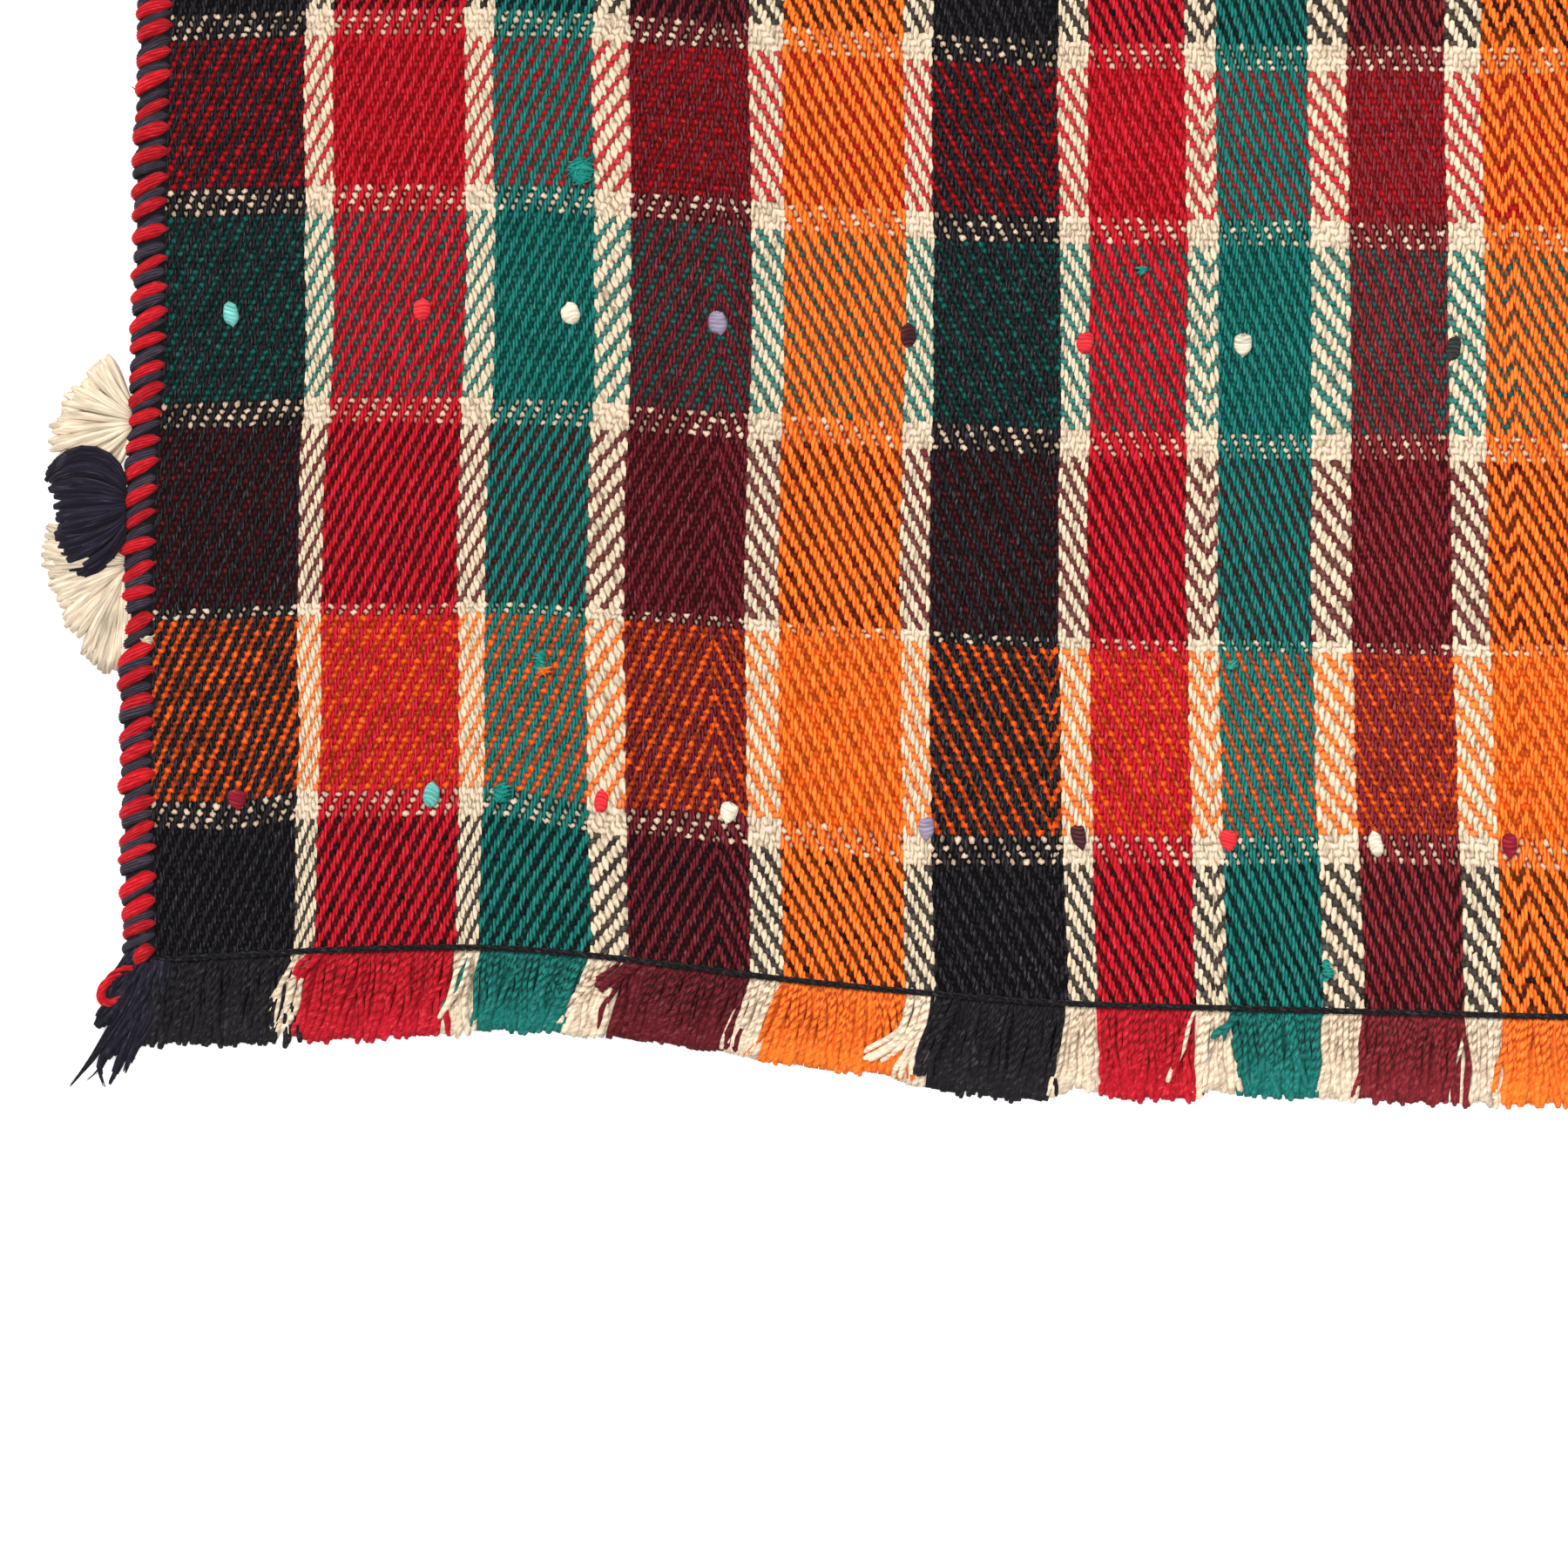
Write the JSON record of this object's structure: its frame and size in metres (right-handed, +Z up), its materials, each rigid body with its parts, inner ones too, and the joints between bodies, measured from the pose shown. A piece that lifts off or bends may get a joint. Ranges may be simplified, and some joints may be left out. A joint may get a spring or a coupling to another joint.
{
  "type": "jajim rug",
  "caption": "Flat wool jajim rug in plaid twill, with overcast sides, twined end cords, a short warp fringe, side tassels and small tied tufts on its face.",
  "frame": {"origin": "centre of the footprint over fringe and tassels, on the floor", "axes": "+X across the warp, +Y along the warp, +Z up out of the face"},
  "size_m": [1.556, 2.06, 0.005],
  "materials": {
    "wool_cloth": "plaid wool twill in black, red, green, maroon and orange with cream stripes, matt and slightly hairy",
    "wool_binding": "soft wool wraps in red and dark slate",
    "wool_cord": "black wool yarn, twined",
    "wool_fringe": "plied warp yarn in the colours of the stripes, cut uneven",
    "wool_cream": "cut undyed wool",
    "wool_navy": "cut dark navy wool"
  },
  "bodies": {
    "root": {"cloth": "wool_cloth", "binding_left": "wool_binding", "binding_right": "wool_binding", "cord_near": "wool_cord", "cord_far": "wool_cord", "fringe_near": "wool_fringe", "fringe_far": "wool_fringe", "tassel_left_1_upper": "wool_cream", "tassel_left_1_middle": "wool_navy", "tassel_left_1_lower": "wool_cream", "tassel_left_2_upper": "wool_cream", "tassel_left_2_middle": "wool_navy", "tassel_left_2_lower": "wool_cream", "tassel_left_3_upper": "wool_cream", "tassel_left_3_middle": "wool_navy", "tassel_left_3_lower": "wool_cream", "tassel_left_4_upper": "wool_cream", "tassel_left_4_middle": "wool_navy", "tassel_left_4_lower": "wool_cream", "tassel_left_5_upper": "wool_cream", "tassel_left_5_middle": "wool_navy", "tassel_left_5_lower": "wool_cream", "tassel_right_1_upper": "wool_cream", "tassel_right_1_middle": "wool_navy", "tassel_right_1_lower": "wool_cream", "tassel_right_2_upper": "wool_cream", "tassel_right_2_middle": "wool_navy", "tassel_right_2_lower": "wool_cream", "tassel_right_3_upper": "wool_cream", "tassel_right_3_middle": "wool_navy", "tassel_right_3_lower": "wool_cream", "tassel_right_4_upper": "wool_cream", "tassel_right_4_middle": "wool_navy", "tassel_right_4_lower": "wool_cream", "tassel_right_5_upper": "wool_cream", "tassel_right_5_middle": "wool_navy", "tassel_right_5_lower": "wool_cream"}
  },
  "joints": []
}
